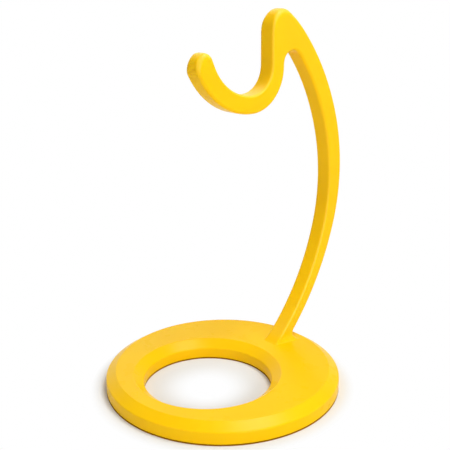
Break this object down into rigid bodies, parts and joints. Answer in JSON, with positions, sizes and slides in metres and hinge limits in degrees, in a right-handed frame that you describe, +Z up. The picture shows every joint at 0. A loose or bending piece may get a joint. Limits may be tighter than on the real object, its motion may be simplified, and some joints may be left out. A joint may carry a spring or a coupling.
{
  "type": "banana hanger",
  "caption": "Counter-top fruit hanger: flat round base with an off-centre hole and one curved flat-sided bar that arches over into a U-shaped hook.",
  "frame": {"origin": "middle of the whole outline in X and Y, at the height of the surface that the base stands on", "axes": "+Z up; the bar lies in the XZ plane, with the bow of the stem towards +X and the tip of the hook towards -X"},
  "size_m": [0.243, 0.2, 0.3104],
  "materials": {
    "body": "satin moulded, even yellow right through"
  },
  "bodies": {
    "root": {"hanger": "body"}
  },
  "joints": []
}
